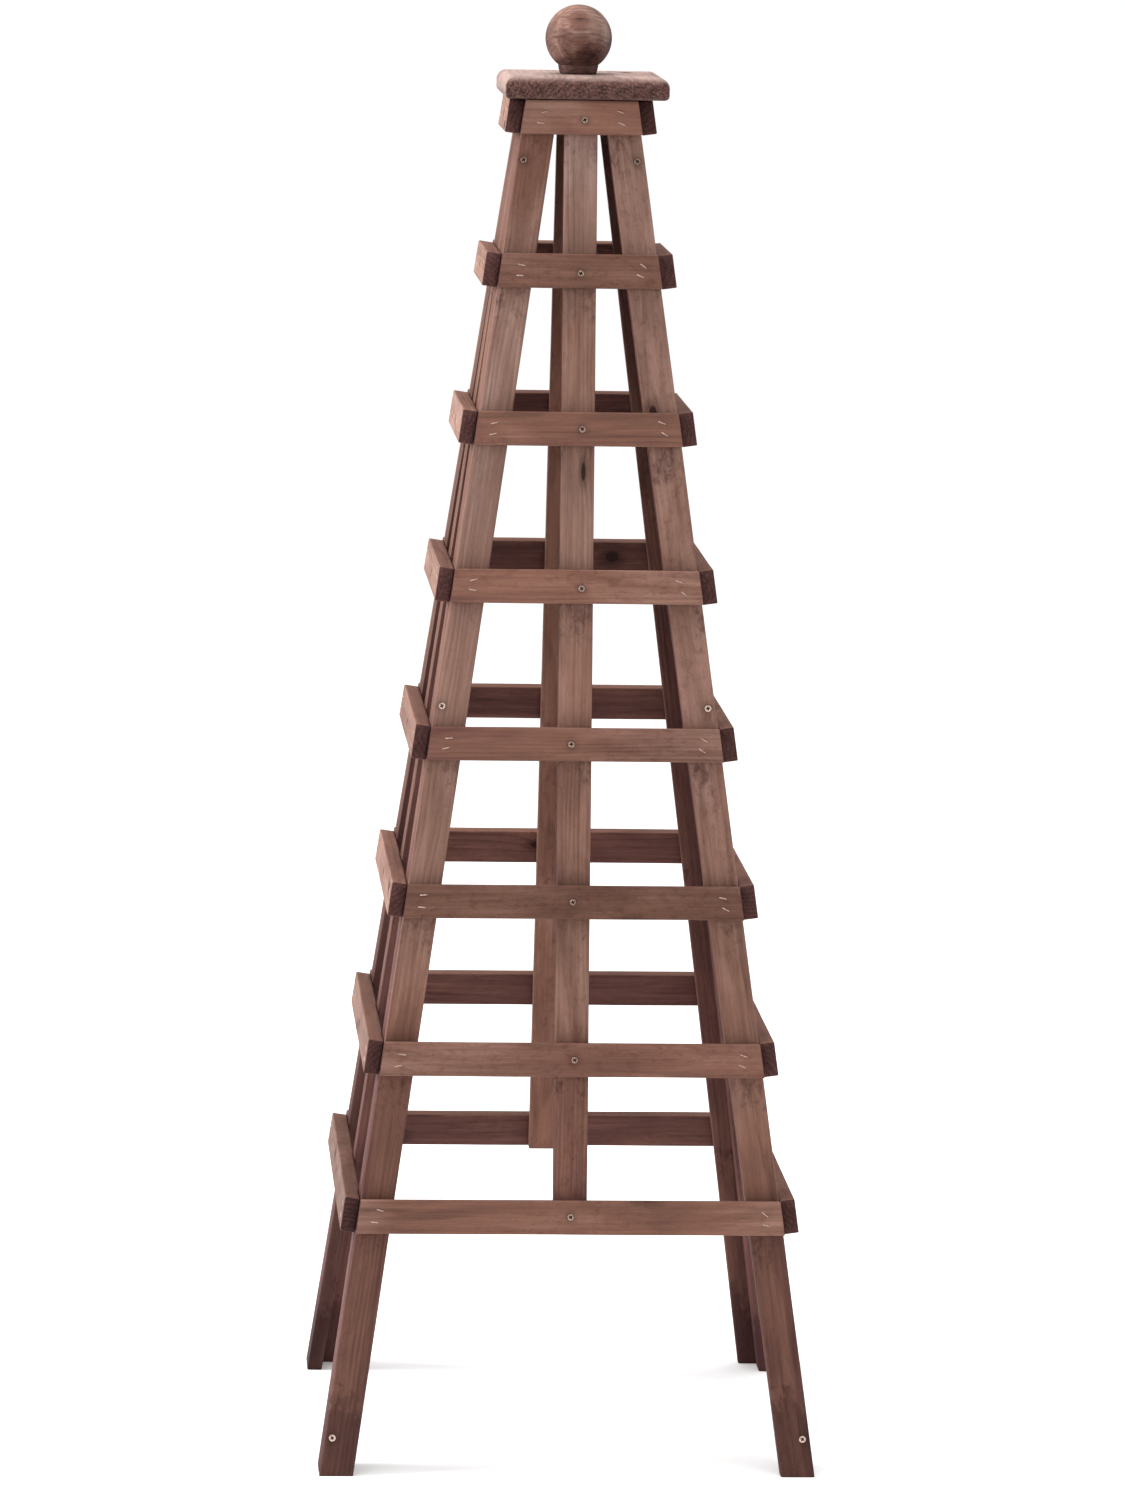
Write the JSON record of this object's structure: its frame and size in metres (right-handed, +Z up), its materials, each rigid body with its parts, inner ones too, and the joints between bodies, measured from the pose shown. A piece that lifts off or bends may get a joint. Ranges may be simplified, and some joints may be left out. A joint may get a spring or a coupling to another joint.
{
  "type": "garden obelisk",
  "caption": "Tall four-sided wooden trellis pyramid for climbing plants, with a square cap board and a ball finial.",
  "frame": {"origin": "on the ground at the middle of the four feet", "axes": "+Z up to the ball, -Y out of the front panel, +X to the front panel's right"},
  "size_m": [0.552, 0.552, 1.6154],
  "materials": {
    "stained_lath": "matt brown-stained planed softwood, weathered",
    "stained_board": "matt brown-stained sawn softwood, open end grain",
    "turned_wood": "matt brown-stained turned softwood",
    "plated_screw": "zinc-plated steel, dull, slightly yellowed"
  },
  "bodies": {
    "root": {"front_left_stile": "stained_lath", "front_centre_stile": "stained_lath", "front_right_stile": "stained_lath", "right_left_stile": "stained_lath", "right_centre_stile": "stained_lath", "right_right_stile": "stained_lath", "back_left_stile": "stained_lath", "back_centre_stile": "stained_lath", "back_right_stile": "stained_lath", "left_left_stile": "stained_lath", "left_centre_stile": "stained_lath", "left_right_stile": "stained_lath", "front_slat_1": "stained_lath", "front_slat_2": "stained_lath", "front_slat_3": "stained_lath", "front_slat_4": "stained_lath", "front_slat_5": "stained_lath", "front_slat_6": "stained_lath", "front_slat_7": "stained_lath", "front_slat_8": "stained_lath", "right_slat_1": "stained_lath", "right_slat_2": "stained_lath", "right_slat_3": "stained_lath", "right_slat_4": "stained_lath", "right_slat_5": "stained_lath", "right_slat_6": "stained_lath", "right_slat_7": "stained_lath", "right_slat_8": "stained_lath", "back_slat_1": "stained_lath", "back_slat_2": "stained_lath", "back_slat_3": "stained_lath", "back_slat_4": "stained_lath", "back_slat_5": "stained_lath", "back_slat_6": "stained_lath", "back_slat_7": "stained_lath", "back_slat_8": "stained_lath", "left_slat_1": "stained_lath", "left_slat_2": "stained_lath", "left_slat_3": "stained_lath", "left_slat_4": "stained_lath", "left_slat_5": "stained_lath", "left_slat_6": "stained_lath", "left_slat_7": "stained_lath", "left_slat_8": "stained_lath", "head_block": "stained_board", "cap": "stained_board", "ball_finial": "turned_wood", "corner_screw_front_left_low": "plated_screw", "corner_screw_front_left_middle": "plated_screw", "corner_screw_front_left_high": "plated_screw", "corner_screw_front_right_low": "plated_screw", "corner_screw_front_right_middle": "plated_screw", "corner_screw_front_right_high": "plated_screw", "corner_screw_back_left_low": "plated_screw", "corner_screw_back_left_middle": "plated_screw", "corner_screw_back_left_high": "plated_screw", "corner_screw_back_right_low": "plated_screw", "corner_screw_back_right_middle": "plated_screw", "corner_screw_back_right_high": "plated_screw", "finial_screw": "plated_screw"}
  },
  "joints": []
}
